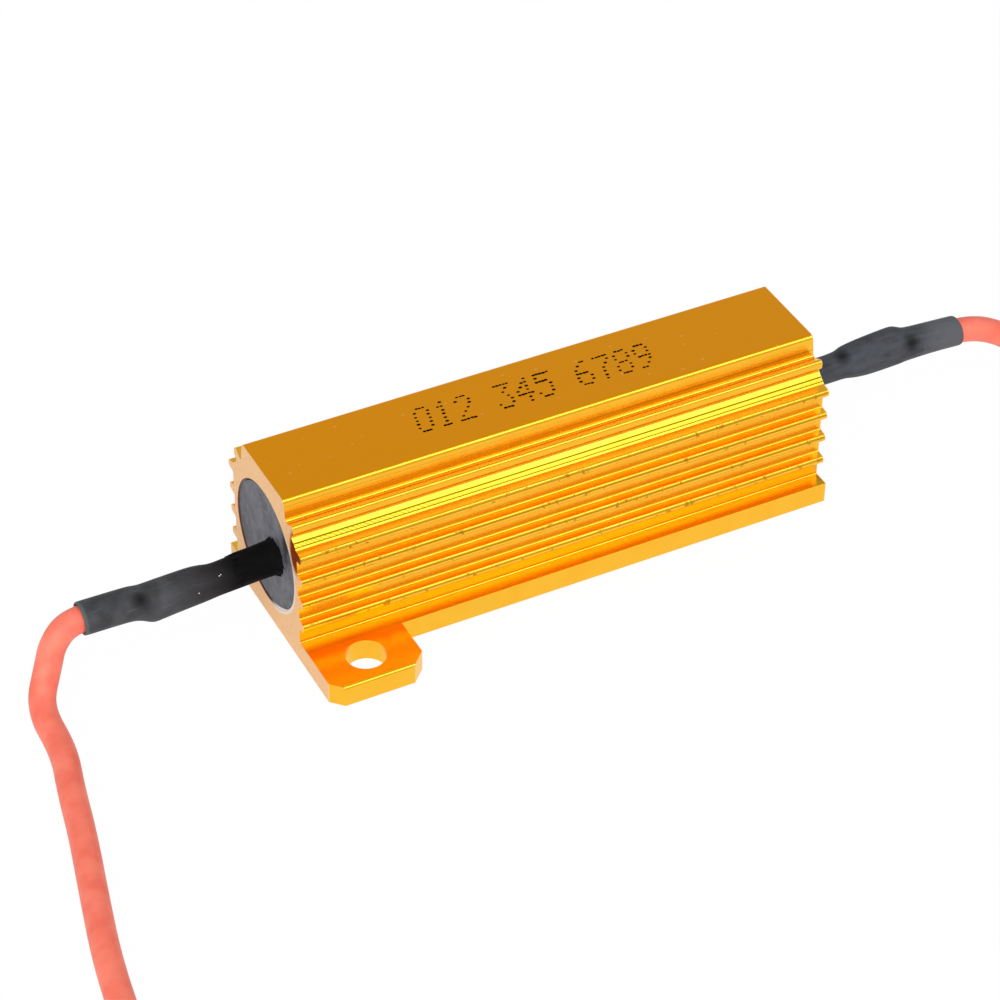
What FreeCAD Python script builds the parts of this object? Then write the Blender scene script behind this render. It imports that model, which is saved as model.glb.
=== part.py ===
# Aluminium-housed wirewound resistor with a flexible lead on each end.
# Millimetres. X runs along the housing, -Y is the side of the near screw tab,
# and Z = 0 is the mounting face, with the origin at its middle.
import FreeCAD, Part
import math
import os

# Extruded housing
body_len = 50.0
body_h = 15.6
top_half = 4.2
top_edge_r = 0.45
wall_foot_y = 4.5
wall_foot_z = 13.45
valley_r = 0.3

# Shoulder fin, which leans upwards, and the slope below it
shoulder_tip_y = 5.95
shoulder_top_z = 14.2
shoulder_under_z = 13.3
shoulder_root_y = 5.45
shoulder_root_z = 12.8

# Side fins, counted up from the lowest
fin_count = 4
fin_first_z = 4.1
fin_pitch = 2.45
fin_t = 0.65
fin_taper = 0.14
fin_tip_y = 7.35
fin_root_y = 6.45
fin_tip_r = 0.28
fin_root_r = 0.2

# Base flange and its two screw tabs
flange_t = 2.0
flange_half = 8.0
flange_edge_r = 0.3
tab_len = 8.64
tab_end_chamfer = 1.06
tab_inner_chamfer = 1.27
tab_hole_d = 3.5
tab_hole_from_end = 4.3
tab_hole_y = 10.2
tab_hole_edge = 2.95

# Bore and filling compound
bore_d = 11.28
bore_z = 7.8
bore_chamfer = 0.15
fill_recess = 0.12
seat_gap = 0.02

# Wound core. Its left end lies off the bore's axis, as the filling set it.
core_d = 6.4
core_from_end = 6.5
core_chamfer = 0.3
core_left_y = -1.0
core_left_drop = 0.52
cap_wall = 0.35
cap_len = 4.2
ribbon_w = 1.2
ribbon_t = 0.3
ribbon_pitch = 7.0

# Terminal: a headed pin, then a flattened lug with an eye
pin_d = 0.8
pin_gap = 0.1
pin_head_d = 2.6
pin_head_t = 0.5
lug_start = 6.8
lug_taper = 1.2
lug_end = 11.0
lug_w = 1.2
lug_t = 0.3
lug_eye_d = 0.7
lug_eye_from_end = 0.7
lug_roll = 40.0

# Lead
lead_d = 2.3
lead_len = 150.0
strand_d = 1.0
strand_gap = 0.08
tip_len = 6.0
tip_turn = 12.0
grip_len = 3.8
grip_dip = 0.02
left_first_bend = 1.05
right_first_bend = 1.6

# Solder joint
solder_len = 3.0
solder_w = 2.5
solder_t = 1.95

# Shrink sleeve, measured outwards from the end face along the terminal
sleeve_wall = 0.27
sleeve_gap = 0.05
neck_at = 5.0
neck_d = 2.75
joint_at = 9.0
joint_d = 3.2
joint_flat = 2.6
grip_at = 13.0
left_sleeve_len = 17.0
left_mouth_drop = 0.2
right_sleeve_len = 18.2
right_mouth_drop = 0.41

# Put-away coil of each lead
coil_d = 25.0
coil_gap = 0.05
coil_room = 1.2
coil_chamfer = 0.6

# Routes of the leads on the table, from the first bend to the coil
left_route = [
    (-44.6, -1.35, 5.65),
    (-45.2, -1.55, 3.75),
    (-46.9, -3.3, 1.15),
    (-46.9, -9.0, 1.15),
    (-48.9, -18.4, 1.15),
    (-52.9, -35.4, 1.15),
    (-54.2, -47.2, 1.15),
    (-53.7, -59.0, 1.15),
]
right_route = [
    (48.0, -0.1, 5.7),
    (52.6, -0.7, 2.1),
    (57.6, -1.9, 1.15),
    (62.9, -5.1, 1.15),
    (65.5, -11.6, 1.15),
    (65.7, -18.6, 1.15),
]

half_len = body_len / 2
tab_half = tab_hole_y + tab_hole_edge
core_len = body_len - 2 * core_from_end
bore_r = bore_d / 2
lead_r = lead_d / 2
axis_x = FreeCAD.Vector(1, 0, 0)
axis_z = FreeCAD.Vector(0, 0, 1)
floor_lift = FreeCAD.Vector(0, 0, lead_r)


def rounded_wire(corners):
    """Closed wire through (point, radius) corners, each rounded by a tangent arc."""
    count = len(corners)
    starts, edges = [], []
    for i, (here, radius) in enumerate(corners):
        before = (corners[i - 1][0] - here).normalize()
        after = (corners[(i + 1) % count][0] - here).normalize()
        if radius <= 0:
            starts.append((here, None, here))
            continue
        half_angle = before.getAngle(after) / 2
        reach = radius / math.tan(half_angle)
        middle = (before + after).normalize()
        centre = here + middle * (radius / math.sin(half_angle))
        starts.append((here + before * reach, centre - middle * radius, here + after * reach))
    for i, (enter, mid, leave) in enumerate(starts):
        if mid is not None:
            edges.append(Part.Arc(enter, mid, leave).toShape())
        following = starts[(i + 1) % count][0]
        edges.append(Part.LineSegment(leave, following).toShape())
    return Part.Wire(edges)


def cord_path(points):
    """Straight runs joined by tangent arcs, each as large as its two runs allow."""
    edges, radii = [], []
    here = points[0]
    for before, corner, after in zip(points, points[1:], points[2:]):
        back = before - corner
        ahead = after - corner
        turn = math.pi - back.getAngle(ahead)
        reach = 0.45 * min(back.Length, ahead.Length)
        radius = reach / math.tan(turn / 2)
        back.normalize()
        ahead.normalize()
        middle = (back + ahead).normalize()
        enter = corner + back * reach
        leave = corner + ahead * reach
        bulge = radius / math.cos(turn / 2) - radius
        edges.append(Part.LineSegment(here, enter).toShape())
        edges.append(Part.Arc(enter, corner + middle * bulge, leave).toShape())
        here = leave
        radii.append(radius)
    edges.append(Part.LineSegment(here, points[-1]).toShape())
    return Part.Wire(edges), radii


def cord_tube(points, diameter, name):
    path, radii = cord_path(points)
    section = Part.Wire(Part.makeCircle(diameter / 2, points[0], points[1] - points[0]))
    tube = path.makePipeShell([section], True, True)
    expected = math.pi * diameter ** 2 / 4 * path.Length
    print(name, "length", round(path.Length, 2), "radii", [round(r, 1) for r in radii])
    print(name, "volume over section times length", round(tube.Volume / expected, 5))
    return tube, path.Length


def rod(start, end, diameter):
    along = end - start
    return Part.makeCylinder(diameter / 2, along.Length, start, along)


def turned(profile, place=None):
    """Solid of revolution about X from (x, radius) points."""
    points = [FreeCAD.Vector(x, r, 0) for x, r in profile]
    face = Part.Face(Part.makePolygon(points + points[:1]))
    solid = face.revolve(FreeCAD.Vector(0, 0, 0), axis_x, 360)
    if place is not None:
        solid.Placement = place
    return solid


def profile_half():
    """Corners of the extrusion's +Y side, from the top edge down to the base."""
    corners = [
        (top_half, body_h, top_edge_r),
        (wall_foot_y, wall_foot_z, valley_r),
        (shoulder_tip_y, shoulder_top_z, fin_tip_r),
        (shoulder_tip_y, shoulder_under_z, fin_tip_r),
        (shoulder_root_y, shoulder_root_z, fin_root_r),
    ]
    for i in reversed(range(fin_count)):
        z = fin_first_z + i * fin_pitch
        corners += [
            (fin_root_y, z + fin_t / 2 + fin_taper, fin_root_r),
            (fin_tip_y, z + fin_t / 2, fin_tip_r),
            (fin_tip_y, z - fin_t / 2, fin_tip_r),
            (fin_root_y, z - fin_t / 2 - fin_taper, fin_root_r),
        ]
    corners += [
        (fin_root_y, flange_t, fin_root_r),
        (tab_half, flange_t, flange_edge_r),
        (tab_half, 0, 0),
    ]
    return corners


def housing():
    side = profile_half()
    both = side + [(-y, z, r) for y, z, r in reversed(side)]
    corners = [(FreeCAD.Vector(-half_len, y, z), r) for y, z, r in both]
    extrusion = Part.Face(rounded_wire(corners)).extrude(axis_x * body_len)

    # Plan of the milled flange: one tab on each side, at opposite ends
    inner_end = tab_len - half_len
    near = [
        (-half_len, -tab_half + tab_end_chamfer),
        (-half_len + tab_end_chamfer, -tab_half),
        (inner_end - tab_inner_chamfer, -tab_half),
        (inner_end, -tab_half + tab_inner_chamfer),
        (inner_end, -flange_half),
        (half_len, -flange_half),
    ]
    outline = near + [(-x, -y) for x, y in near]
    points = [FreeCAD.Vector(x, y, 0) for x, y in outline]
    plan = Part.Face(Part.makePolygon(points + points[:1])).extrude(axis_z * body_h)
    body = extrusion.common(plan)

    bore = turned([
        (-half_len, 0),
        (-half_len, bore_r + bore_chamfer),
        (-half_len + bore_chamfer, bore_r),
        (half_len - bore_chamfer, bore_r),
        (half_len, bore_r + bore_chamfer),
        (half_len, 0),
    ], FreeCAD.Placement(FreeCAD.Vector(0, 0, bore_z), FreeCAD.Rotation()))
    body = body.cut(bore)
    for side in (-1, 1):
        at = FreeCAD.Vector(side * (half_len - tab_hole_from_end), side * tab_hole_y, 0)
        body = body.cut(Part.makeCylinder(tab_hole_d / 2, flange_t, at))
    return body


# The core's own axis, from where it would leave one end face to the other
left_face = FreeCAD.Vector(-half_len, core_left_y, bore_z - core_left_drop)
right_face = FreeCAD.Vector(half_len, 0, bore_z)
core_axis = right_face - left_face
core_half = core_axis.Length / 2
core_place = FreeCAD.Placement(
    (left_face + right_face) / 2,
    FreeCAD.Rotation(axis_x, core_axis),
)
core_r = core_d / 2
cap_bore_r = core_r + seat_gap
cap_r = cap_bore_r + cap_wall
cap_outer_x = core_len / 2 + seat_gap + cap_wall
cap_rim_x = cap_outer_x - cap_len
head_x = cap_outer_x + seat_gap + pin_head_t


def core():
    x = core_len / 2
    return turned([
        (-x, 0),
        (-x, core_r - core_chamfer),
        (-x + core_chamfer, core_r),
        (x - core_chamfer, core_r),
        (x, core_r - core_chamfer),
        (x, 0),
    ], core_place)


def end_cap(side):
    x = core_len / 2 + seat_gap
    return turned([
        (side * x, 0),
        (side * x, cap_bore_r),
        (side * cap_rim_x, cap_bore_r),
        (side * cap_rim_x, cap_r),
        (side * (cap_outer_x - cap_wall), cap_r),
        (side * cap_outer_x, cap_r - cap_wall),
        (side * cap_outer_x, 0),
    ], core_place)


def winding():
    """Flat resistance ribbon, wound on the core from one cap to the other."""
    span = 2 * (cap_rim_x - seat_gap) - ribbon_w
    inner = core_r + seat_gap
    outer = inner + ribbon_t
    section = [(inner, 0), (outer, 0), (outer, ribbon_w), (inner, ribbon_w)]
    corners = [FreeCAD.Vector(r, 0, z) for r, z in section]
    line = Part.Wire(Part.makeHelix(ribbon_pitch, span, inner))
    coil = line.makePipeShell([Part.makePolygon(corners + corners[:1])], True, True)
    along = FreeCAD.Placement(axis_x * (-(span + ribbon_w) / 2), FreeCAD.Rotation(axis_z, axis_x))
    coil.Placement = core_place.multiply(along)
    return coil


def filling():
    x = half_len - fill_recess
    mass = turned([
        (-x, 0), (-x, bore_r - seat_gap), (x, bore_r - seat_gap), (x, 0),
    ], FreeCAD.Placement(FreeCAD.Vector(0, 0, bore_z), FreeCAD.Rotation()))
    wound_r = max(cap_r, core_r + seat_gap + ribbon_t) + seat_gap
    head_r = pin_head_d / 2 + seat_gap
    pin_r = pin_d / 2 + pin_gap
    through = core_half + fill_recess
    cavity = turned([
        (-through, 0),
        (-through, pin_r),
        (-head_x - seat_gap, pin_r),
        (-head_x - seat_gap, head_r),
        (-cap_outer_x - seat_gap, head_r),
        (-cap_outer_x - seat_gap, wound_r),
        (cap_outer_x + seat_gap, wound_r),
        (cap_outer_x + seat_gap, head_r),
        (head_x + seat_gap, head_r),
        (head_x + seat_gap, pin_r),
        (through, pin_r),
        (through, 0),
    ], core_place)
    return mass.cut(cavity)


class Side:
    """One end of the resistor, measured outwards from its end face."""

    def __init__(self, sign, face, length, mouth_drop, first_bend, route):
        self.face = face
        self.length = length
        self.first_bend = first_bend
        self.route = [FreeCAD.Vector(*point) for point in route]
        self.sign = sign
        self.out = FreeCAD.Vector(sign * length, 0, -mouth_drop).normalize()
        # The lug's flat faces up and towards the near side
        self.flat = FreeCAD.Vector(0, -math.sin(math.radians(lug_roll)), math.cos(math.radians(lug_roll)))
        self.wide = axis_x.cross(self.flat)

    def at(self, out, lift=0.0):
        """Point on the sleeve's axis, moved by lift along the flat's normal."""
        return self.face + self.out * out + self.flat * lift

    def sleeve(self):
        """Shrunk tube: narrow at the neck, wide over the joint, tight on the lead."""
        grip_r = lead_r + sleeve_gap
        joint_r = joint_d / 2 - sleeve_wall
        skin = [
            (seat_gap - fill_recess, grip_r),
            (neck_at, neck_d / 2 - sleeve_wall),
            (joint_at - joint_flat / 2, joint_r),
            (joint_at + joint_flat / 2, joint_r),
            (grip_at, grip_r),
            (self.length, grip_r),
        ]
        outer = [(x, r + sleeve_wall) for x, r in reversed(skin)]
        return turned(skin + outer, FreeCAD.Placement(self.face, FreeCAD.Rotation(axis_x, self.out)))

    def terminal(self):
        head = core_place.multVec(axis_x * (self.sign * (cap_outer_x + seat_gap)))
        shoulder = core_place.multVec(axis_x * (self.sign * head_x))
        bend = self.at(0)
        start = self.lug_point(lug_start - lug_taper / 2)
        line = Part.makePolygon([shoulder, bend, start])
        section = Part.Wire(Part.makeCircle(pin_d / 2, shoulder, bend - shoulder))
        solid = rod(head, shoulder, pin_head_d).fuse(line.makePipeShell([section], True, True, 1))
        return solid.fuse(self.lug())

    def lug_point(self, out, across=0.0, lift=0.0):
        """Point of the lug, which lies under the strands' inner end."""
        below = strand_d / 2 + strand_gap + lug_t / 2
        return self.at(out, lift - below) + self.wide * across

    def lug(self):
        """Flat plate with a round end and an eye, from the taper outwards."""
        half_w = lug_w / 2
        half_pin = pin_d / 2
        start = lug_start - lug_taper
        round_at = lug_end - half_w
        low = -lug_t / 2
        tip = self.lug_point(lug_end, 0, low)
        near = [(start, -half_pin), (lug_start, -half_w), (round_at, -half_w)]
        near = [self.lug_point(out, across, low) for out, across in near]
        far = [(round_at, half_w), (lug_start, half_w), (start, half_pin)]
        far = [self.lug_point(out, across, low) for out, across in far]
        edges = [Part.Arc(near[-1], tip, far[0]).toShape()]
        for here, following in zip(far + near, far[1:] + near):
            edges.append(Part.LineSegment(here, following).toShape())
        plate = Part.Face(Part.Wire(edges)).extrude(self.flat * lug_t)
        eye = self.lug_point(lug_end - lug_eye_from_end, 0, low)
        return plate.cut(Part.makeCylinder(lug_eye_d / 2, lug_t, eye, self.flat))

    def strands(self):
        """Stripped conductor, straight on from the lead as far as the lug's eye."""
        inner = self.lead_points()[0] - self.out * seat_gap
        reach = self.length - grip_len - (lug_end - lug_eye_from_end)
        return rod(inner, inner - self.out * reach, strand_d)

    def solder(self, inside):
        """Solder round the lug and the strands."""
        start = self.at(joint_at - solder_len / 2)
        oval = Part.Ellipse(start + self.wide * (solder_w / 2), start + self.flat * (solder_t / 2), start)
        block = Part.Face(Part.Wire(oval.toShape())).extrude(self.out * solder_len)
        for piece in inside:
            block = block.cut(piece)
        return block

    def lead_points(self):
        """From inside the sleeve, where the end dips a little, out of the mouth and along the route."""
        inner = self.at(self.length - grip_len) - axis_z * grip_dip
        return [inner, self.at(self.length - grip_len / 2), self.at(self.length + self.first_bend)] + self.route


def coil_frame(points, turn_sign):
    """Centre, entry point and heading of the coil that a lead's last run is tangent to."""
    entry = points[-1]
    heading = (points[-1] - points[-2])
    heading.z = 0
    heading.normalize()
    inward = axis_z.cross(heading) * turn_sign
    return entry, heading, inward, entry + inward * (coil_d / 2)


def coil_and_tip(points, used_len, turn_sign):
    """Closed outer shape of the flat coil, and the tinned tip inside it."""
    entry, heading, inward, centre = coil_frame(points, turn_sign)
    outer = coil_d / 2
    pitch = lead_d + coil_gap
    # Flat spiral: its radius shrinks by one pitch per turn
    last = math.sqrt(outer ** 2 - pitch * (lead_len - used_len) / math.pi)
    turns = (outer - last) / pitch
    low = last - lead_r
    high = outer + lead_r
    top = lead_d
    c = coil_chamfer
    section = [(low, 0), (high, 0), (high, top - c), (high - c, top), (low + c, top), (low, top - c)]
    corners = [FreeCAD.Vector(r, 0, z) for r, z in section]
    ring = Part.Face(Part.makePolygon(corners + corners[:1])).revolve(FreeCAD.Vector(), axis_z, 360)
    ring.translate(centre - floor_lift)
    # Step where the lead comes in, and the place of the tip
    room = math.sqrt(high ** 2 - (outer - lead_r - coil_room) ** 2) + lead_d
    ring = ring.cut(notch(entry, heading * -1, room, inward * -1))
    angle = turn_sign * 2 * math.pi * turns
    spin = FreeCAD.Rotation(axis_z, math.degrees(angle))
    spoke = spin.multVec(inward * -1)
    tangent = spin.multVec(heading)
    inwards = FreeCAD.Rotation(axis_z, turn_sign * tip_turn)
    tip_dir = inwards.multVec(tangent)
    tip_at = centre + spoke * last
    ring = ring.cut(notch(tip_at, tip_dir, tip_len + lead_r, inwards.multVec(spoke) * -1))
    tip = rod(tip_at, tip_at + tip_dir * tip_len, strand_d)
    print("turns", round(turns, 3), "centre", centre, "last radius", round(last, 2))
    return ring, tip


def notch(at, along, length, open_side):
    """Box that frees a stretch of lead or tip beside the ring and opens to one side."""
    corner = at - open_side * (lead_r + coil_room) - floor_lift
    across = open_side * coil_d
    points = [corner, corner + along * length, corner + along * length + across, corner + across]
    return Part.Face(Part.makePolygon(points + points[:1])).extrude(axis_z * lead_d)


left = Side(-1, left_face, left_sleeve_len, left_mouth_drop, left_first_bend, left_route)
right = Side(1, right_face, right_sleeve_len, right_mouth_drop, right_first_bend, right_route)

parts = {
    "housing": housing(),
    "filling": filling(),
    "ceramic_core": core(),
    "resistance_ribbon": winding(),
}
for name, side, turn_sign in (("left", left, 1), ("right", right, -1)):
    parts["end_cap_" + name] = end_cap(side.sign)
    parts["terminal_" + name] = side.terminal()
    parts["wire_strands_" + name] = side.strands()
    parts["solder_joint_" + name] = side.solder([parts["terminal_" + name], parts["wire_strands_" + name]])
    parts["sleeve_" + name] = side.sleeve()
    points = side.lead_points()
    parts["lead_" + name], used = cord_tube(points, lead_d, "lead_" + name)
    parts["lead_coil_" + name], parts["tinned_tip_" + name] = coil_and_tip(points, used, turn_sign)

os.makedirs("parts", exist_ok=True)
for name, shape in parts.items():
    shape.exportStep("parts/" + name + ".step")
    print(name, "valid", shape.isValid(), "solids", len(shape.Solids), "volume", round(shape.Volume, 2))
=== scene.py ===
import bpy
import math
import random
from mathutils import Matrix, Vector


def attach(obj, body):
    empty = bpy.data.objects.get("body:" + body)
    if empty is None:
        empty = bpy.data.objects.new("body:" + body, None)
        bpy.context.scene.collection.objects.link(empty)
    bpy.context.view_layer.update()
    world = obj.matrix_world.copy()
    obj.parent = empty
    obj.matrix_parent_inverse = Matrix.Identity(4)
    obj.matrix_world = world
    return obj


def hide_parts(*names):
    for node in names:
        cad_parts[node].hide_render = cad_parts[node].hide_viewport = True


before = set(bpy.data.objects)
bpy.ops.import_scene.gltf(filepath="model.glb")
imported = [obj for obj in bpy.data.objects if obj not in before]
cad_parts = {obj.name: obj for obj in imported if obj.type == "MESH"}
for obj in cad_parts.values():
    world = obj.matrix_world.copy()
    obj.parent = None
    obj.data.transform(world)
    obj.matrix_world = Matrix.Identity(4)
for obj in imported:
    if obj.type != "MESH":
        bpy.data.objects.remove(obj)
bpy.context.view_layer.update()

mm = 0.001
bpy.context.scene.view_settings.view_transform = "Standard"


# Shader maths

class Signal:
    # one output of a node; arithmetic on it adds Math nodes
    def __init__(self, nodes, socket):
        self.nodes = nodes
        self.socket = socket

    def calc(self, operation, *others):
        return self.nodes.node("ShaderNodeMath", (self, *others), operation=operation)

    def calcAfter(self, operation, other):
        return self.nodes.node("ShaderNodeMath", (other, self), operation=operation)

    def __add__(self, other):
        return self.calc("ADD", other)

    def __radd__(self, other):
        return self.calcAfter("ADD", other)

    def __sub__(self, other):
        return self.calc("SUBTRACT", other)

    def __rsub__(self, other):
        return self.calcAfter("SUBTRACT", other)

    def __mul__(self, other):
        return self.calc("MULTIPLY", other)

    def __rmul__(self, other):
        return self.calcAfter("MULTIPLY", other)

    def __truediv__(self, other):
        return self.calc("DIVIDE", other)

    def __rtruediv__(self, other):
        return self.calcAfter("DIVIDE", other)

    def __gt__(self, other):
        return self.calc("GREATER_THAN", other)

    def __lt__(self, other):
        return self.calc("LESS_THAN", other)

    def __abs__(self):
        return self.calc("ABSOLUTE")

    def ramp(self, low, high):
        # 0 below low, 1 above high, smooth between
        values = {0: self, 1: low, 2: high}
        return self.nodes.node("ShaderNodeMapRange", values, interpolation_type="SMOOTHSTEP")

    def near(self, level, inner, outer):
        # 1 within inner of the level, 0 beyond outer
        return 1.0 - abs(self - level).ramp(inner, outer)


class Nodes:
    # adds nodes to one tree
    def __init__(self, tree):
        self.tree = tree

    def feed(self, socket, value):
        if isinstance(value, Signal):
            self.tree.links.new(value.socket, socket)
        elif isinstance(value, tuple) and len(value) == 3 and len(socket.default_value) == 4:
            socket.default_value = (*value, 1)
        else:
            socket.default_value = value

    def node(self, kind, values=(), output=0, **settings):
        made = self.tree.nodes.new(kind)
        for setting, value in settings.items():
            setattr(made, setting, value)
        for place, value in (values.items() if isinstance(values, dict) else enumerate(values)):
            self.feed(made.inputs[place], value)
        return Signal(self, made.outputs[output])

    def lightPath(self, *rays):
        # 1 for a ray of any of the kinds named
        seen = self.node("ShaderNodeLightPath", output=rays[0])
        for ray in rays[1:]:
            seen = seen.calc("MAXIMUM", self.node("ShaderNodeLightPath", output=ray))
        return seen


class Finish(Nodes):
    def __init__(self, name, **surface):
        self.material = bpy.data.materials.new(name)
        self.material.use_nodes = True
        super().__init__(self.material.node_tree)
        self.shader = self.tree.nodes["Principled BSDF"]
        self.set(**surface)

    def set(self, **sockets):
        for socket, value in sockets.items():
            self.feed(self.shader.inputs[socket.replace("_", " ")], value)

    def place(self, scale=(1, 1, 1), turn=(0, 0, 0), shift=(0, 0, 0)):
        # object coordinates in millimetres, stretched
        here = self.node("ShaderNodeTexCoord", output="Object")
        size = tuple(s / mm for s in scale)
        values = {"Vector": here, "Scale": size, "Rotation": turn, "Location": shift}
        return self.node("ShaderNodeMapping", values)

    def axes(self, vector):
        return [self.node("ShaderNodeSeparateXYZ", [vector], output=i) for i in range(3)]

    def distance(self, vector, point):
        return self.node("ShaderNodeVectorMath", [vector, point], output=1, operation="DISTANCE")

    def noise(self, vector, scale, detail=3.0, roughness=0.5):
        values = {"Vector": vector, "Scale": scale, "Detail": detail, "Roughness": roughness}
        return self.node("ShaderNodeTexNoise", values)

    def blend(self, share, first, second):
        return self.node("ShaderNodeMix", {0: share, 6: first, 7: second}, output=2, data_type="RGBA")

    def bump(self, height, depth, strength, under=None):
        values = {"Height": height, "Distance": depth * mm, "Strength": strength}
        if under is not None:
            values["Normal"] = under
        return self.node("ShaderNodeBump", values)


# Camera and surroundings

# angles in degrees, lengths in millimetres
photoCamera = {
    "azimuth": -27.123,
    "elevation": 39.426,
    "roll": 0.304,
    "distance": 282.78,
    "target": (-3.107, 0.0, 4.552),
    "lens": 118.089,
    "sensor": 36,
    "clipStart": 10,
}


def addCamera(spec):
    azimuth = math.radians(spec["azimuth"])
    elevation = math.radians(spec["elevation"])
    roll = math.radians(spec["roll"])
    back = Vector((math.sin(azimuth) * math.cos(elevation), -math.cos(azimuth) * math.cos(elevation),
                   math.sin(elevation)))
    right = Vector((0, 0, 1)).cross(back).normalized()
    up = back.cross(right)
    turned = Matrix((right * math.cos(roll) + up * math.sin(roll),
                     up * math.cos(roll) - right * math.sin(roll), back))
    place = turned.transposed().to_4x4()
    place.translation = (Vector(spec["target"]) + back * spec["distance"]) * mm
    data = bpy.data.cameras.new("photoCamera")
    data.lens = spec["lens"]
    data.sensor_width = spec["sensor"]
    data.clip_start = spec["clipStart"] * mm
    camera = bpy.data.objects.new("photoCamera", data)
    camera.matrix_world = place
    bpy.context.scene.collection.objects.link(camera)
    bpy.context.scene.camera = camera


# lengths in metres, powers in watts
studio = {
    "floorSize": 3.0,
    "floorColour": (0.95, 0.95, 0.95),
    "floorRoughness": 0.9,
    "floorSpecular": 0.1,
    "floorGlow": 0.985,  # share of the floor that stays white whatever shadow falls on it
    "skyForLight": 0.5,
    "skyForGloss": 0.62,
    "lamps": {
        "keyLamp": {"at": (-0.55, -0.70, 0.60), "size": 1.3, "power": 10.5},
        "frontLamp": {"at": (0.37, -0.60, 0.78), "size": 0.38, "power": 1.6},
    },
}


def addStudio(spec):
    bpy.ops.mesh.primitive_plane_add(size=spec["floorSize"])
    floor = bpy.context.active_object
    floor.name = "floor"
    paper = Finish("whitePaper", Base_Color=spec["floorColour"], Roughness=spec["floorRoughness"],
                   Specular_IOR_Level=spec["floorSpecular"])
    seen = paper.lightPath("Is Camera Ray", "Is Glossy Ray", "Is Transmission Ray")
    glow = paper.node("ShaderNodeEmission", {"Color": (1, 1, 1), "Strength": 1.0})
    lit = Signal(paper, paper.shader.outputs[0])
    mixed = paper.node("ShaderNodeMixShader", {0: seen * spec["floorGlow"], 1: lit, 2: glow})
    paper.feed(paper.tree.nodes["Material Output"].inputs["Surface"], mixed)
    floor.data.materials.append(paper.material)

    world = bpy.data.worlds.new("softRoom")
    world.use_nodes = True
    bpy.context.scene.world = world
    room = Nodes(world.node_tree)
    light, gloss = spec["skyForLight"], spec["skyForGloss"]
    level = light + room.lightPath("Is Glossy Ray") * (gloss - light)
    background = room.tree.nodes["Background"]
    room.feed(background.inputs["Color"], (1, 1, 1))
    room.feed(background.inputs["Strength"], level + room.lightPath("Is Camera Ray") * (1.0 - light))

    for name, lamp in spec["lamps"].items():
        data = bpy.data.lights.new(name, "AREA")
        data.size = lamp["size"]
        data.energy = lamp["power"]
        made = bpy.data.objects.new(name, data)
        made.location = lamp["at"]
        made.rotation_euler = Vector(lamp["at"]).to_track_quat("Z", "Y").to_euler()
        bpy.context.scene.collection.objects.link(made)


# Tools for new pieces

def deselectAll():
    bpy.ops.object.select_all(action="DESELECT")


def selectOnly(pieces):
    deselectAll()
    for piece in pieces:
        piece.select_set(True)
    bpy.context.view_layer.objects.active = pieces[0]


def roughen(piece, name, grain, strength, direction="NORMAL"):
    # cloudy relief on a new piece, with its grain and strength in millimetres
    texture = bpy.data.textures.new(name, "CLOUDS")
    texture.noise_scale = grain * mm
    relief = piece.modifiers.new(name, "DISPLACE")
    relief.texture = texture
    relief.texture_coords = "GLOBAL"
    relief.direction = direction
    relief.strength = strength * mm


def settle(piece, name, finish):
    # origin to (0, 0, 0) with the place in the mesh, then onto the body
    selectOnly([piece])
    bpy.ops.object.transform_apply(location=True, rotation=True, scale=True)
    piece.name = name
    piece.data.name = name
    piece.data.materials.clear()
    piece.data.materials.append(finish.material)
    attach(piece, "root")


def applyModifiers(piece):
    selectOnly([piece])
    for modifier in list(piece.modifiers):
        bpy.ops.object.modifier_apply(modifier=modifier.name)


def drawTube(stations, corners, closeEnds=False):
    # rings of (x, y, z, half width, half thickness), each drawn out of the one before
    deselectAll()
    x, y, z, wide, thick = stations[0]
    fill = "NGON" if closeEnds else "NOTHING"
    bpy.ops.mesh.primitive_circle_add(vertices=corners, radius=1, fill_type=fill,
                                      location=(x, y, z), rotation=(0, math.pi / 2, 0))
    piece = bpy.context.active_object
    bpy.ops.object.transform_apply(location=True, rotation=True, scale=False)
    bpy.ops.object.mode_set(mode="EDIT")
    bpy.ops.transform.resize(value=(1, wide, thick), center_override=(x, y, z))
    before = stations[0]
    for station in stations[1:]:
        step = [station[i] - before[i] for i in range(3)]
        bpy.ops.mesh.extrude_region_move(TRANSFORM_OT_translate={"value": step})
        bpy.ops.transform.resize(value=(1, station[3] / before[3], station[4] / before[4]),
                                 center_override=station[:3])
        before = station
    bpy.ops.mesh.select_all(action="SELECT")
    bpy.ops.mesh.normals_make_consistent(inside=False)
    bpy.ops.object.mode_set(mode="OBJECT")
    return piece


# Leads: a route close to the tube's, then the turns of the coil

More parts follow.
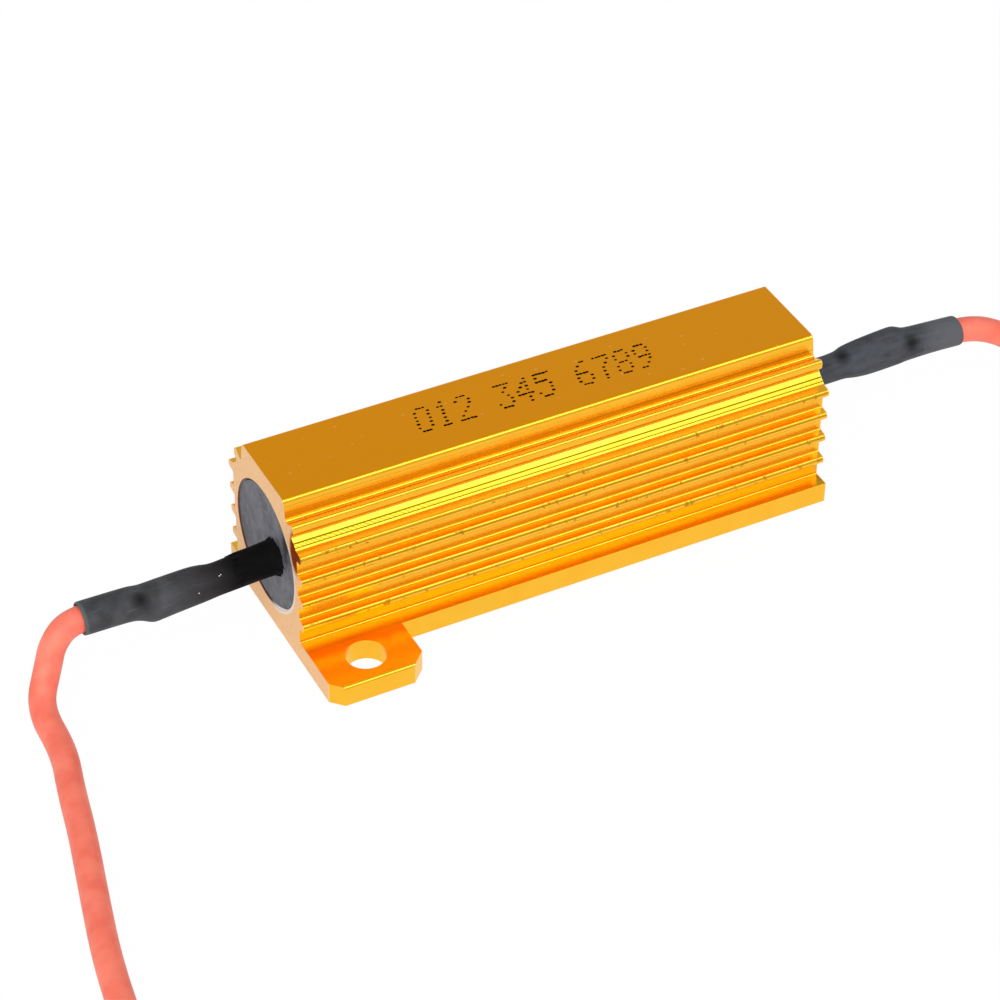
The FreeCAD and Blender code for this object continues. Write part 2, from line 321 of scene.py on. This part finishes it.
lead = {
    "diameter": 2.3,
    "length": 150.0,
    "coilDiameter": 25.0,
    "coilGap": 0.05,
    "pointsPerTurn": 24,
    "smoothness": 10,
    "roundness": 7,
}
leads = {
    "left": {
        "route": [(-38.2, -1.0, 6.95), (-40.1, -1.0, 7.06), (-43.05, -1.0, 7.07), (-44.6, -1.35, 5.65),
                  (-45.2, -1.55, 3.75), (-46.9, -3.3, 1.15), (-46.9, -9.0, 1.15), (-48.0, -13.4, 1.15),
                  (-49.0, -18.5, 1.15), (-50.6, -25.0, 1.15), (-52.2, -31.8, 1.15), (-53.2, -38.8, 1.15),
                  (-54.2, -47.2, 1.15), (-53.7, -59.0, 1.15)],
        "mouth": (-42.0, -1.0, 7.08),
        "turn": 1,
        "turns": 1.166,
    },
    "right": {
        "route": [(39.4, 0.0, 7.58), (41.3, 0.0, 7.43), (44.8, 0.0, 7.2), (48.0, -0.1, 5.7),
                  (52.6, -0.7, 2.1), (57.6, -1.9, 1.15), (62.9, -5.1, 1.15), (65.5, -11.6, 1.15),
                  (65.7, -18.6, 1.15)],
        "mouth": (43.2, 0.0, 7.39),
        "turn": -1,
        "turns": 1.662,
    },
}


def coilPoints(spec):
    # control points of the flat spiral after the route's last point, its end and the heading there
    entry = Vector(spec["route"][-1])
    heading = entry - Vector(spec["route"][-2])
    heading.z = 0
    heading.normalize()
    inward = Vector((0, 0, 1)).cross(heading) * spec["turn"]
    outer = lead["coilDiameter"] / 2
    centre = entry + inward * outer
    count = math.ceil(spec["turns"] * lead["pointsPerTurn"])
    step = spec["turns"] * 2 * math.pi / count
    pitch = lead["diameter"] + lead["coilGap"]
    points = []
    for i in range(1, count + 1):
        # a control point between two tangent points lies outside the turn
        angle = (i - 0.5) * step
        radius = (outer - pitch * angle / (2 * math.pi)) / math.cos(step / 2)
        spoke = Matrix.Rotation(angle * spec["turn"], 3, "Z") @ -inward
        points.append(centre + spoke * radius)
    spin = Matrix.Rotation(count * step * spec["turn"], 3, "Z")
    end = centre + (spin @ -inward) * (outer - pitch * spec["turns"])
    return points + [end], end, spin @ heading


def addLead(side, spec, finish):
    coil, end, heading = coilPoints(spec)
    points = [Vector(p) for p in spec["route"]] + coil
    data = bpy.data.curves.new("flexLead_" + side, "CURVE")
    data.dimensions = "3D"
    spline = data.splines.new("NURBS")
    spline.points.add(len(points) - 1)
    for slot, point in zip(spline.points, points):
        slot.co = (*(point * mm), 1)
    spline.order_u = 3
    spline.use_endpoint_u = True
    spline.resolution_u = lead["smoothness"]
    data.bevel_depth = lead["diameter"] / 2 * mm
    data.bevel_resolution = lead["roundness"]
    data.use_fill_caps = True
    data.materials.append(finish.material)
    cable = bpy.data.objects.new("flexLead_" + side, data)
    bpy.context.scene.collection.objects.link(cable)
    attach(cable, "root")
    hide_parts("lead_" + side, "lead_coil_" + side)
    return cable, end, heading


tip = {
    "length": 6.0,
    "diameter": 1.1,
    "turn": 12.0,
    "strands": 7,
    "twist": 1.3,
    "rings": 40,
    "roundness": 2,
    "gatherFrom": 0.8,  # share of the length after which the strands draw together
    "gatherBy": 0.25,
}


def addTip(side, spec, end, heading, finish):
    # twisted strands: the middle one straight, the others on helices about it, joined and turned into place
    direction = Matrix.Rotation(math.radians(tip["turn"]) * spec["turn"], 3, "Z") @ heading
    strandR = tip["diameter"] / 6
    made = []
    for k in range(tip["strands"]):
        orbit = 0 if k == 0 else 2 * strandR
        points = []
        for i in range(tip["rings"] + 1):
            share = i / tip["rings"]
            angle = 2 * math.pi * (tip["twist"] * share + k / (tip["strands"] - 1))
            gathered = max(0, share - tip["gatherFrom"]) / (1 - tip["gatherFrom"])
            reach = orbit * (1 - tip["gatherBy"] * gathered)
            points.append((share * tip["length"], math.cos(angle) * reach, math.sin(angle) * reach))
        data = bpy.data.curves.new("strand", "CURVE")
        data.dimensions = "3D"
        spline = data.splines.new("POLY")
        spline.points.add(len(points) - 1)
        for slot, point in zip(spline.points, points):
            slot.co = (*point, 1)
        data.bevel_depth = strandR
        data.bevel_resolution = tip["roundness"]
        data.use_fill_caps = True
        strand = bpy.data.objects.new("strand", data)
        bpy.context.scene.collection.objects.link(strand)
        made.append(strand)
    selectOnly(made)
    bpy.ops.object.convert(target="MESH")
    bpy.ops.object.join()
    piece = bpy.context.active_object
    piece.scale = (mm, mm, mm)
    piece.rotation_euler = direction.to_track_quat("X", "Z").to_euler()
    piece.location = end * mm
    settle(piece, "twistedTip_" + side, finish)
    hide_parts("tinned_tip_" + side)
    return piece


# Finishes: distances in millimetres, colours linear

gold = {
    "colours": {
        "metal": (1.0, 0.53, 0.038),
        "deep": (1.0, 0.485, 0.026),
        "top": (0.98, 0.375, 0.004),
        "flangeTop": (1.0, 0.57, 0.03),
        "wall": (0.93, 0.385, 0.02),
        "line": (0.36, 0.19, 0.004),
        "slopeMark": (0.10, 0.095, 0.003),
        "speck": (1.0, 0.62, 0.20),
        "sawn": (0.88, 0.53, 0.245),
        "pitted": (0.72, 0.38, 0.18),
        "endFaceShadow": (0.27, 0.035, 0.0),
        "boreShade": (0.11, 0.035, 0.02),
        "boreLight": (0.80, 0.72, 0.68),
    },
    "endFace": 24.96,
    "topFace": 15.55,
    "flange": {"top": 2.0, "from": 6.9},
    "wall": (2.08, 3.4),  # heights between which it is painted darker, as shade
    "foot": 3.0,  # the drawn lines and nicks begin above it
    "slope": {
        "lines": (12.36, 12.08),
        "strip": (0.12, 0.20),  # half height of the scratched strip between the lines
        "out": (6.5, 6.7),  # how far out the strip goes
        "thick": (-14.0, 3.0),  # along X, from all of the scratches to none
        "behind": 0.3,  # share of the marks that the far side keeps
    },
    "fins": {"first": 4.1, "step": 2.45, "end": 12.5, "tip": (7.22, 7.28)},
    "bore": {"height": 7.8, "radius": 5.83},
    # where the painted shadow of the left sleeve lies on the left end face
    "endFaceShadow": {"at": (-6.35, 11.6), "squash": 0.5},
}


def slopeMarks(x, y, z, hair, mottle):
    # two dark lines on the slope, and between them slanting scratches, thick at the left end
    slope = gold["slope"]
    upper, lower = slope["lines"]
    lines = z.near(upper, 0.025, 0.075) + z.near(lower, 0.02, 0.06) * 0.8
    strokes = (x * 14.0 + z * 30.0 + mottle * 22.0).calc("SINE").ramp(-0.2, 0.9)
    strokes = strokes * (1.0 - (x + mottle * 9.0).ramp(*slope["thick"]))
    strip = z.near((upper + lower) / 2, *slope["strip"]) * (1.0 - abs(y).ramp(*slope["out"]))
    marks = lines * hair.ramp(0.2, 0.5) * 0.9 + strip * (strokes * 0.36 + 0.36)
    return marks * (slope["behind"] + (y < 0) * (1.0 - slope["behind"]))


def shadeUnderTips(y, z, hair):
    # a painted shade line under the bright one on each fin's tip
    fins = gold["fins"]
    step = (z - fins["first"]) / fins["step"]
    above = (step - (step + 0.5).calc("FLOOR")) * fins["step"]
    line = above.near(0.12, 0.03, 0.09) * abs(y).ramp(*fins["tip"])
    return line * (z > gold["foot"]) * (z < fins["end"]) * (0.35 + hair.ramp(0.35, 0.6) * 0.5)


def makeGold():
    finish = Finish("goldAnodised")
    colours = gold["colours"]
    spot = finish.place()
    x, y, z = finish.axes(spot)
    drawn = finish.noise(finish.place(scale=(0.03, 5, 5)), 1.0, detail=5, roughness=0.6)
    hair = finish.noise(finish.place(scale=(0.008, 9, 9), shift=(3, 1, 7)), 1.0, detail=2)
    mottle = finish.noise(spot, 0.4, detail=3)
    sides = z < gold["topFace"]
    tint = finish.blend(mottle.ramp(0.3, 0.7) * 0.6, colours["metal"], colours["deep"])
    # painted shade: the top face is tinted a deeper, darker gold than the sides
    tint = finish.blend(sides, colours["top"], tint)
    flangeTop = z.near(gold["flange"]["top"], 0.03, 0.08) * (abs(y) > gold["flange"]["from"])
    tint = finish.blend(flangeTop, tint, colours["flangeTop"])
    # painted shade: the wall between the flange and the lowest fin is tinted darker
    low, high = gold["wall"]
    wall = (z < high) * (z > low) * (abs(y) < gold["fins"]["tip"][0])
    tint = finish.blend(wall, tint, colours["wall"])
    hairLines = hair.ramp(0.62, 0.70) * sides * (z > gold["foot"]) * 0.6
    tint = finish.blend(hairLines, tint, colours["line"])
    tint = finish.blend(slopeMarks(x, y, z, hair, mottle), tint, colours["slopeMark"])
    # painted shade under each fin's tip
    tint = finish.blend(shadeUnderTips(y, z, hair), tint, colours["line"])

    # dark nicks along the fins' tips, light specks on the top
    stretched = finish.place(scale=(1.3, 0.4, 0.8), shift=(0, 0, 2))
    dashes = finish.noise(stretched, 1.0, detail=4, roughness=0.7)
    nick = dashes.ramp(0.57, 0.63) * abs(y).ramp(*gold["fins"]["tip"]) * (z > gold["foot"])
    tint = finish.blend(nick * 0.7, tint, colours["line"])
    loose = finish.place(scale=(0.5, 0.8, 0.8))
    cells = finish.node("ShaderNodeTexVoronoi", {"Vector": loose, "Scale": 1.0}, feature="F1")
    speck = (1.0 - cells.ramp(0.05, 0.12)) * (1.0 - sides)
    tint = finish.blend(speck * 0.35, tint, colours["speck"])

    # the ends are sawn bare and hardly shine; round the filling the bore's wall shows, with painted shade
    # on its left side and a painted highlight on its right
    sawn = abs(x).ramp(gold["endFace"] - 0.02, gold["endFace"] + 0.02)
    pits = finish.noise(spot, 2.2, detail=5, roughness=0.7)
    bare = finish.blend(pits.ramp(0.48, 0.74) * 0.75, colours["sawn"], colours["pitted"])
    height = z - gold["bore"]["height"]
    radius = gold["bore"]["radius"]
    fromBore = (y * y + height * height).calc("SQRT")
    bore = 1.0 - fromBore.ramp(radius - 0.04, radius)
    slanted = y + height * 0.3
    # painted highlight: a pale ring just outside the bore, on its right side only
    litRing = fromBore.near(radius + 0.12, 0.07, 0.16) * (1.0 - slanted.ramp(-3.6, -2.6))
    bare = finish.blend(litRing * 0.85, bare, colours["boreLight"])
    # painted shadow: a dark red-brown patch on the left end face beside the filling, where the left
    # sleeve's shadow falls
    across = y - gold["endFaceShadow"]["at"][0]
    over = (z - gold["endFaceShadow"]["at"][1]) * gold["endFaceShadow"]["squash"]
    endFaceShadow = (1.0 - (across * across + over * over + pits * 0.5).ramp(0.8, 1.9)) * (x < 0)
    bare = finish.blend(endFaceShadow, bare, colours["endFaceShadow"])
    tint = finish.blend(sawn, tint, bare)
    # the bore's wall: painted pale on the right side and painted dark on the left, as light and shade
    boreLightAndShade = finish.blend(slanted.ramp(-3.4, -2.0), colours["boreLight"], colours["boreShade"])
    finish.set(Base_Color=finish.blend(bore, tint, boreLightAndShade),
               Metallic=1.0 - sawn * (1.0 - endFaceShadow) * 0.8 - bore * 0.2,
               Roughness=0.19 + drawn * 0.12 * sides + sawn * (0.3 + endFaceShadow * 0.2) + nick * 0.2)

    sawLines = finish.noise(finish.place(scale=(1, 0.5, 8), turn=(0.5, 0, 0)), 1.0, detail=3)
    fine = finish.bump(drawn * (sides * 0.7 + 0.3), 0.03, 0.3)
    dents = finish.bump(speck - nick, 0.03, 0.5, under=fine)
    finish.set(Normal=finish.bump(sawLines * sawn, 0.04, 0.6, under=dents))
    return finish


grey = {
    "dark": (0.052, 0.054, 0.067),
    "light": (0.118, 0.122, 0.147),
    "grain": (0.30, 0.30, 0.33),
    "fillingShadow": (0.016, 0.012, 0.011),
    "fillingShadowAt": (-4.0, 10.76),
}


def makePotting():
    finish = Finish("greyPotting", Roughness=0.55)
    spot = finish.place()
    clouds = finish.noise(spot, 0.9, detail=6, roughness=0.7)
    grain = finish.noise(spot, 7.0, detail=4, roughness=0.7)
    tint = finish.blend(clouds.ramp(0.36, 0.64), grey["dark"], grey["light"])
    x, y, z = finish.axes(spot)
    # painted shadow: a dark patch on the left filling's face beside the sleeve's root, where the sleeve's
    # shadow falls
    across, over = grey["fillingShadowAt"]
    fillingShadow = 1.0 - (abs(y - across) * 1.3 + abs(z - over) * 0.55 + clouds).ramp(0.9, 1.9)
    tint = finish.blend(fillingShadow * (x < 0), tint, grey["fillingShadow"])
    finish.set(Base_Color=finish.blend(grain.ramp(0.55, 0.75) * 0.35, tint, grey["grain"]),
               Normal=finish.bump(grain, 0.05, 0.6, under=finish.bump(clouds, 0.12, 0.5)))
    return finish


black = {
    "dark": (0.042, 0.043, 0.047),
    "light": (0.070, 0.072, 0.080),
    "scuff": (0.15, 0.16, 0.17),
    "rightScuff": (0.072, 0.085, 0.102),
    "scorched": (0.014, 0.010, 0.010),
    "root": (0.0015, 0.0015, 0.002),
    "leftRim": (0.13, 0.16, 0.155),
    "leftRimAt": -41.9,
    "rightMouth": (0.130, 0.136, 0.152),
    "dentShade": (0.006, 0.006, 0.008),
    "glint": (0.75, 0.76, 0.74),
    # spots darkened with painted shade, in the dents where the tube steps down
    "dents": [(-36.95, -1.9, 7.95, 1.5), (37.7, -1.1, 8.5, 1.6), (30.8, -0.45, 8.9, 1.4)],  # x, y, z, reach
    "glints": [(-27.04, -2.78, 7.56, 0.11), (-26.92, -2.8, 7.68, 0.08), (-31.91, -2.04, 7.88, 0.07),
               (-32.06, -2.47, 7.11, 0.08), (-30.06, -2.04, 7.9, 0.06), (-29.9, -2.0, 7.95, 0.06)],
}


def makeSleeve():
    finish = Finish("shrinkSleeve", Specular_IOR_Level=0.13)
    spot = finish.place()
    x = finish.axes(spot)[0]
    cloud = finish.noise(spot, 0.7, detail=4)
    scuff = finish.noise(finish.place(scale=(0.35, 2.2, 2.2)), 1.0, detail=5, roughness=0.65)
    tint = finish.blend(cloud.ramp(0.3, 0.75), black["dark"], black["light"])
    tint = finish.blend(scuff.ramp(0.56, 0.75) * 0.35, tint, black["scuff"])
    left = x < 0
    tint = finish.blend((1.0 - left) * scuff.ramp(0.35, 0.6) * 0.6, tint, black["rightScuff"])

    # the left one darkens towards the varnish at its root, and both are paler near the mouth
    tint = finish.blend((x + cloud * 2.0).ramp(-34.0, -29.0) * left * 0.8, tint, black["scorched"])
    root = (x + cloud * 1.6).ramp(-30.5, -27.4) * left
    tint = finish.blend(root, tint, black["root"])
    leftRim = (1.0 - (x - black["leftRimAt"] + scuff * 0.3).ramp(0.2, 0.5)) * left
    tint = finish.blend(leftRim * 0.5, tint, black["leftRim"])
    tint = finish.blend((x + cloud * 3.0).ramp(39.5, 43.0) * 0.6, tint, black["rightMouth"])

    # dents where the tube steps down beside the joint, darkened with painted shade, and small painted
    # glints
    for *point, reach in black["dents"]:
        dentShade = 1.0 - (finish.distance(spot, point) + scuff * 0.5).ramp(0.25, reach)
        tint = finish.blend(dentShade * 0.9, tint, black["dentShade"])
    # painted highlights: small bright glints on the left sleeve
    glint = 0.0
    for *point, reach in black["glints"]:
        glint = 1.0 - finish.distance(spot, point).ramp(0.5 * reach, reach) + glint
    finish.set(Base_Color=finish.blend(glint, tint, black["glint"]),
               Roughness=0.42 + scuff * 0.2 + root * 0.3,
               Normal=finish.bump(scuff, 0.06, 0.5, under=finish.bump(cloud, 0.15, 0.4)))
    return finish


def makeSilicone():
    finish = Finish("salmonSilicone", Roughness=0.5)
    spot = finish.place()
    cloud = finish.noise(spot, 0.5, detail=3)
    finish.set(Base_Color=finish.blend(cloud.ramp(0.3, 0.7), (0.89, 0.150, 0.092), (0.97, 0.215, 0.138)),
               Normal=finish.bump(finish.noise(spot, 3.0, detail=3), 0.03, 0.4))
    return finish


def makeTin(name, colour, roughness):
    finish = Finish(name, Metallic=1.0)
    cloud = finish.noise(finish.place(), 3.0, detail=4)
    darker = tuple(c * 0.8 for c in colour)
    finish.set(Base_Color=finish.blend(cloud.ramp(0.3, 0.7), colour, darker),
               Roughness=roughness + cloud * 0.15)
    return finish


def makePlain(name, colour, **surface):
    finish = Finish(name, Roughness=0.7, **surface)
    grain = finish.noise(finish.place(), 4.0, detail=4)
    darker = tuple(c * 0.85 for c in colour)
    finish.set(Base_Color=finish.blend(grain.ramp(0.3, 0.7), colour, darker),
               Normal=finish.bump(grain, 0.03, 0.4))
    return finish


def makeInk():
    finish = Finish("brownInk", Roughness=0.6, Specular_IOR_Level=0.1)
    blot = finish.noise(finish.place(), 3.0, detail=3)
    finish.set(Base_Color=finish.blend(blot.ramp(0.3, 0.7), (0.100, 0.013, 0.002), (0.17, 0.034, 0.003)))
    return finish


# Sleeves: each station gives the way out from the end face, y and z of the middle, full width and thickness

sleeve = {
    "wall": 0.22,
    "corners": 40,
    "roll": 40.0,
    "smoothness": 2,
}
sleeves = {
    "left": {
        "face": -25.0, "sign": -1,
        "stations": [
            (0.0, -1.55, 7.72, 2.92, 2.92), (1.3, -1.42, 7.45, 2.92, 2.92), (2.8, -1.30, 7.19, 2.88, 2.88),
            (4.0, -1.20, 7.00, 2.84, 2.84), (5.0, -1.12, 6.84, 2.82, 2.82), (5.5, -1.08, 6.79, 2.88, 2.82),
            (6.2, -1.05, 6.82, 3.12, 2.80), (7.0, -1.02, 6.79, 3.24, 2.76), (7.8, -1.0, 6.74, 3.28, 2.70),
            (9.6, -1.0, 6.62, 3.36, 2.66), (10.5, -1.0, 6.54, 3.42, 2.68), (11.0, -1.0, 6.52, 3.42, 2.72),
            (11.4, -1.0, 6.60, 3.26, 2.78), (11.8, -1.0, 6.76, 3.08, 2.84), (12.3, -1.0, 6.93, 2.98, 2.88),
            (12.9, -1.0, 7.02, 2.90, 2.88), (14.5, -1.0, 7.05, 2.90, 2.90), (16.7, -1.0, 7.08, 2.91, 2.91),
            (17.0, -1.0, 7.08, 2.90, 2.90)
        ],
    },
    "right": {
        "face": 25.0, "sign": 1,
        "stations": [
            (0.0, 0, 7.75, 2.60, 2.60), (2.5, 0, 7.62, 2.55, 2.55), (4.3, 0, 7.57, 2.53, 2.53),
            (5.5, 0, 7.63, 2.58, 2.58), (5.9, 0, 7.68, 2.68, 2.62), (6.3, 0, 7.76, 2.90, 2.68),
            (6.9, 0, 7.73, 3.14, 2.74), (8.3, 0, 7.75, 3.42, 2.74), (10.0, 0, 7.85, 3.48, 2.70),
            (11.2, 0, 7.92, 3.52, 2.72), (11.8, 0, 7.94, 3.48, 2.76), (12.2, 0, 7.86, 3.26, 2.80),
            (12.7, 0, 7.70, 3.02, 2.82), (13.4, 0, 7.65, 2.93, 2.82), (15.3, 0, 7.59, 2.82, 2.82),
            (17.9, 0, 7.42, 2.80, 2.80), (18.2, 0, 7.39, 2.80, 2.80)
        ],
    },
}


def addSleeve(side, spec, finish):
    roll = math.radians(sleeve["roll"])
    mouth = spec["stations"][-1]
    rings = []
    for out, y, z, wide, thick in spec["stations"]:
        # drawn with its flat level, then rolled about the line through the mouth
        sideways, up = y - mouth[1], z - mouth[2]
        across = sideways * math.cos(roll) + up * math.sin(roll)
        lift = up * math.cos(roll) - sideways * math.sin(roll)
        ring = (spec["face"] + spec["sign"] * out, across, lift, wide / 2, thick / 2)
        rings.append([v * mm for v in ring])
    piece = drawTube(rings, sleeve["corners"])
    piece.rotation_euler.x = roll
    piece.location.y += mouth[1] * mm
    piece.location.z += mouth[2] * mm
    wall = piece.modifiers.new("wall", "SOLIDIFY")
    wall.thickness = sleeve["wall"] * mm
    wall.offset = -1
    smooth = piece.modifiers.new("smooth", "SUBSURF")
    smooth.levels = sleeve["smoothness"]
    smooth.render_levels = sleeve["smoothness"]
    applyModifiers(piece)
    bpy.ops.object.shade_smooth()
    settle(piece, "shrinkSleeve_" + side, finish)
    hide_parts("sleeve_" + side)


# Solder inside each sleeve, where the sleeve bulges over it

solder = {
    "out": 9.0,
    "halfSize": (1.5, 1.28, 0.93),  # along, across and through the flattened joint
    "rounds": 4,
    "lump": 0.8,
    "relief": 0.10,
}


def addSolder(side, spec, finish):
    nearest = min(spec["stations"], key=lambda station: abs(station[0] - solder["out"]))
    deselectAll()
    bpy.ops.mesh.primitive_ico_sphere_add(subdivisions=solder["rounds"], radius=mm)
    piece = bpy.context.active_object
    piece.scale = solder["halfSize"]
    piece.rotation_euler.x = math.radians(sleeve["roll"])
    piece.location = Vector((spec["face"] + spec["sign"] * nearest[0], nearest[1], nearest[2])) * mm
    roughen(piece, "solderLumps", solder["lump"], solder["relief"])
    applyModifiers(piece)
    bpy.ops.object.shade_smooth()
    settle(piece, "solderBlob_" + side, finish)
    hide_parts("solder_joint_" + side)


# Face of the filling at each end: it climbs a little at the bore's wall

potting = {
    "radius": 5.62,
    "height": 7.8,
    "back": 24.70,
    "face": 24.90,
    "corners": 96,
    "insets": [(0.05, -0.02), (0.10, -0.02), (0.25, -0.01), (0.6, 0.0), (0.9, 0.0), (0.9, 0.0), (0.9, 0.0),
               (0.9, 0.0), (0.5, 0.0)],  # width and rise of each ring, from the wall inwards
    "lump": 1.3,
    "relief": 0.05,
    "sharpAbove": 40,  # degrees
}


def addPotting(side, spec, finish):
    sign = spec["sign"]
    middle = (sign * potting["back"] * mm, 0, potting["height"] * mm)
    deselectAll()
    bpy.ops.mesh.primitive_circle_add(vertices=potting["corners"], radius=potting["radius"] * mm,
                                      fill_type="NGON", location=middle,
                                      rotation=(0, sign * math.pi / 2, 0))
    piece = bpy.context.active_object
    bpy.ops.object.mode_set(mode="EDIT")
    depth = (potting["face"] - potting["back"]) * mm
    bpy.ops.mesh.extrude_region_move(TRANSFORM_OT_translate={"value": (sign * depth, 0, 0)})
    for width, rise in potting["insets"]:
        bpy.ops.mesh.inset(thickness=width * mm, depth=rise * mm, use_even_offset=False)
    bpy.ops.mesh.poke()
    bpy.ops.mesh.select_all(action="SELECT")
    bpy.ops.mesh.normals_make_consistent(inside=False)
    bpy.ops.object.mode_set(mode="OBJECT")
    roughen(piece, "pottingRelief", potting["lump"], potting["relief"], direction="X")
    applyModifiers(piece)
    bpy.ops.object.shade_smooth_by_angle(angle=math.radians(potting["sharpAbove"]))
    settle(piece, "pottingFace_" + side, finish)


# Black varnish on the left sleeve's root, with a ragged edge on the filling

varnish = {
    "corners": 60,
    "stations": [(-28.4, -1.36, 7.28, 1.42), (-27.6, -1.39, 7.38, 1.45), (-26.8, -1.42, 7.44, 1.475),
                 (-25.7, -1.50, 7.60, 1.50), (-25.3, -1.60, 7.70, 1.52), (-25.0, -1.80, 7.84, 1.50),
                 (-24.86, -1.82, 7.86, 1.54)],
    "ragged": (-25.1, 0.26),  # from this x inwards, and how far the teeth reach
    "tooth": 2,  # corners to a tooth
    "start": (-27.4, 0.9),  # up to this x the start wanders, by this much
    "seed": 3,
}


def addVarnish(finish):
    rings = [[v * mm for v in (x, y, z, r, r)] for x, y, z, r in varnish["stations"]]
    piece = drawTube(rings, varnish["corners"], closeEnds=True)
    ragged, reach = varnish["ragged"]
    start, wander = varnish["start"]
    centre = Vector(varnish["stations"][-1][:3]) * mm
    chance = random.Random(varnish["seed"])
    teeth = {}
    for corner in piece.data.vertices:
        if corner.co.x > ragged * mm:
            away = corner.co - centre
            corners = math.atan2(away.z, away.y) * varnish["corners"] / (2 * math.pi)
            tooth = round(corners / varnish["tooth"])
            share = teeth.setdefault(tooth, 1 + reach * chance.uniform(-0.4, 1))
            corner.co.y = centre.y + away.y * share
            corner.co.z = centre.z + away.z * share
        elif corner.co.x < start * mm:
            corner.co.x += chance.uniform(-0.5, 0.5) * wander * mm
    settle(piece, "rootVarnish", finish)


# Printed figures: 5 by 7 dots, sheared as the printer left them

printing = {
    "text": "012 345 6789",
    "start": (-11.05, -1.15),
    "dotStep": (0.30, 0.50),
    "figureStep": 1.87,
    "lean": 0.22,
    "slope": -0.022,
    "dot": (0.205, 0.155),
    "dotCorners": 12,
    "edge": (0.2, 0.002),  # width and rise of the dot's rounded edge
    "sizes": (0.85, 1.15),
    "stray": 0.02,
    "height": (15.580, 15.598),
    "seed": 7,
}
figures = {
    "0": (".###.", "#...#", "#...#", "#...#", "#...#", "#...#", ".###."),
    "1": ("..#..", ".##..", "..#..", "..#..", "..#..", "..#..", ".###."),
    "2": (".###.", "#...#", "....#", "...#.", "..#..", ".#...", "#####"),
    "3": ("#####", "...#.", "..#..", "...#.", "....#", "#...#", ".###."),
    "4": ("...#.", "..##.", ".#.#.", "#..#.", "#####", "...#.", "...#."),
    "5": ("#####", "#....", "####.", "....#", "....#", "#...#", ".###."),
    "6": ("..##.", ".#...", "#....", "####.", "#...#", "#...#", ".###."),
    "7": ("#####", "....#", "...#.", "..#..", "..#..", "..#..", "..#.."),
    "8": (".###.", "#...#", "#...#", ".###.", "#...#", "#...#", ".###."),
    "9": (".###.", "#...#", "#...#", ".####", "....#", "...#.", ".##.."),
}


def addPrinting(finish):
    low, high = printing["height"]
    deselectAll()
    bpy.ops.mesh.primitive_cylinder_add(vertices=printing["dotCorners"], radius=mm, depth=(high - low) * mm)
    dot = bpy.context.active_object
    bpy.ops.object.mode_set(mode="EDIT")
    bpy.ops.mesh.select_all(action="DESELECT")
    bpy.ops.object.mode_set(mode="OBJECT")
    for face in dot.data.polygons:
        face.select = face.normal.z > 0.9
    width, rise = printing["edge"]
    bpy.ops.object.mode_set(mode="EDIT")
    bpy.ops.mesh.inset(thickness=width * mm, depth=rise * mm)
    bpy.ops.object.mode_set(mode="OBJECT")

    marks = [(place, row, column) for place, figure in enumerate(printing["text"])
             for row, line in enumerate(figures.get(figure, ()))
             for column, mark in enumerate(line) if mark == "#"]
    startX, startY = printing["start"]
    stepX, stepY = printing["dotStep"]
    bottomRow = 6
    wobble = random.Random(printing["seed"])
    dots = []
    for place, row, column in marks:
        up = (bottomRow - row) * stepY
        along = place * printing["figureStep"] + column * stepX
        copy = dot.copy()
        copy.data = dot.data.copy()
        size = wobble.uniform(*printing["sizes"])
        x = startX + along + up * printing["lean"] + wobble.gauss(0, printing["stray"])
        y = startY + up + along * printing["slope"] + wobble.gauss(0, printing["stray"])
        copy.scale = (printing["dot"][0] * size, printing["dot"][1] * size, 1)
        copy.location = (x * mm, y * mm, (low + high) / 2 * mm)
        bpy.context.scene.collection.objects.link(copy)
        dots.append(copy)
    bpy.data.objects.remove(dot)
    selectOnly(dots)
    bpy.ops.object.join()
    settle(bpy.context.active_object, "printedFigures", finish)


print("camera and studio")
addCamera(photoCamera)
addStudio(studio)

print("finishes")
goldFinish = makeGold()
pottingFinish = makePotting()
sleeveFinish = makeSleeve()
siliconeFinish = makeSilicone()
tinFinish = makeTin("tinnedCopper", (0.78, 0.77, 0.74), 0.3)
steelFinish = makeTin("platedSteel", (0.66, 0.66, 0.66), 0.35)
alloyFinish = makeTin("resistanceAlloy", (0.42, 0.38, 0.34), 0.45)
solderFinish = makeTin("solder", (0.6, 0.6, 0.61), 0.25)
ceramicFinish = makePlain("ceramic", (0.8, 0.78, 0.72))
inkFinish = makeInk()
varnishFinish = makePlain("blackVarnish", (0.002, 0.002, 0.0025), Specular_IOR_Level=0.08)

kept = {
    "housing": goldFinish,
    "filling": pottingFinish,
    "ceramic_core": ceramicFinish,
    "resistance_ribbon": alloyFinish,
}
for side in ("left", "right"):
    kept["end_cap_" + side] = steelFinish
    kept["terminal_" + side] = steelFinish
    kept["wire_strands_" + side] = tinFinish
for node, finish in kept.items():
    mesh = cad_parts[node].data
    mesh.materials.clear()
    mesh.materials.append(finish.material)

print("leads")
for side, spec in leads.items():
    cable, end, heading = addLead(side, spec, siliconeFinish)
    strands = addTip(side, spec, end, heading, tinFinish)

print("sleeves, solder and filling")
for side, spec in sleeves.items():
    addSleeve(side, spec, sleeveFinish)
    addSolder(side, spec, solderFinish)
    addPotting(side, spec, pottingFinish)
addVarnish(varnishFinish)

print("printed figures")
addPrinting(inkFinish)
